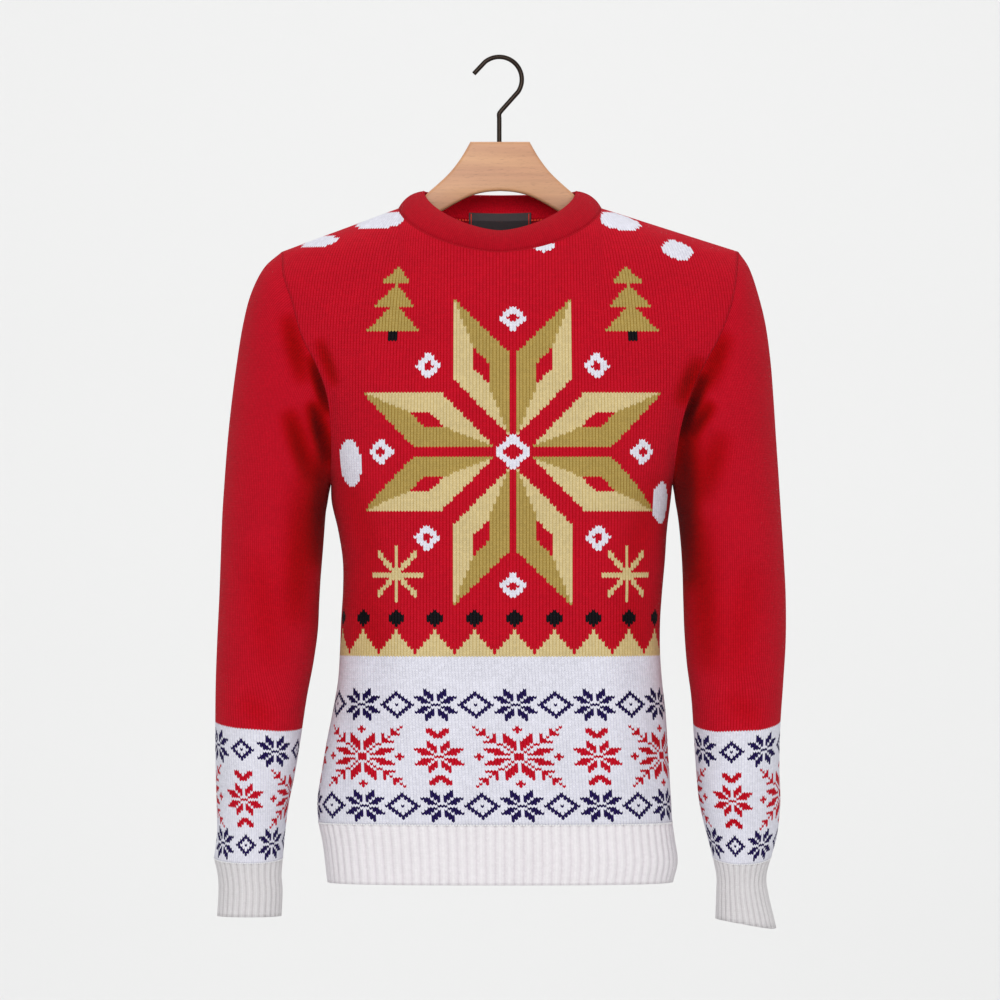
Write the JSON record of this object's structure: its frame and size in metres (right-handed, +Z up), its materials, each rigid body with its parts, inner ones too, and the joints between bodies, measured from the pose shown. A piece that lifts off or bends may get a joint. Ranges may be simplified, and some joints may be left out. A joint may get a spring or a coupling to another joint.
{
  "type": "christmas sweater on a wooden hanger",
  "caption": "Long-sleeved crew-neck knitted sweater with ribbed hem, cuffs and neckband, filled out as if worn, on a flat wooden hanger with a wire hook.",
  "frame": {"origin": "inner top of the hanger's hook, where it rests on its rail", "axes": "+Z up, +X towards the wearer's left, -Y towards the front of the sweater"},
  "size_m": [0.5368, 0.1879, 0.8211],
  "materials": {
    "knit_front": "fine knit, red with a white patterned band",
    "knit_back": "fine knit, red with a white patterned band",
    "knit_sleeve_right": "fine knit, red with a white patterned band",
    "knit_sleeve_left": "fine knit, red with a white patterned band",
    "rib_neck": "fine rib",
    "rib_hem_front": "wide rib",
    "rib_hem_back": "wide rib",
    "rib_cuff_right": "wide rib",
    "rib_cuff_left": "wide rib",
    "label": "woven",
    "wood": "clear satin lacquer",
    "wire": "dark, bronze where it shines"
  },
  "bodies": {
    "root": {"front_panel": "knit_front", "back_panel": "knit_back", "sleeve_right": "knit_sleeve_right", "sleeve_left": "knit_sleeve_left", "neckband": "rib_neck", "hem_rib_front": "rib_hem_front", "hem_rib_back": "rib_hem_back", "cuff_right": "rib_cuff_right", "cuff_left": "rib_cuff_left", "neck_label": "label", "hanger_body": "wood", "hanger_hook": "wire"}
  },
  "joints": []
}
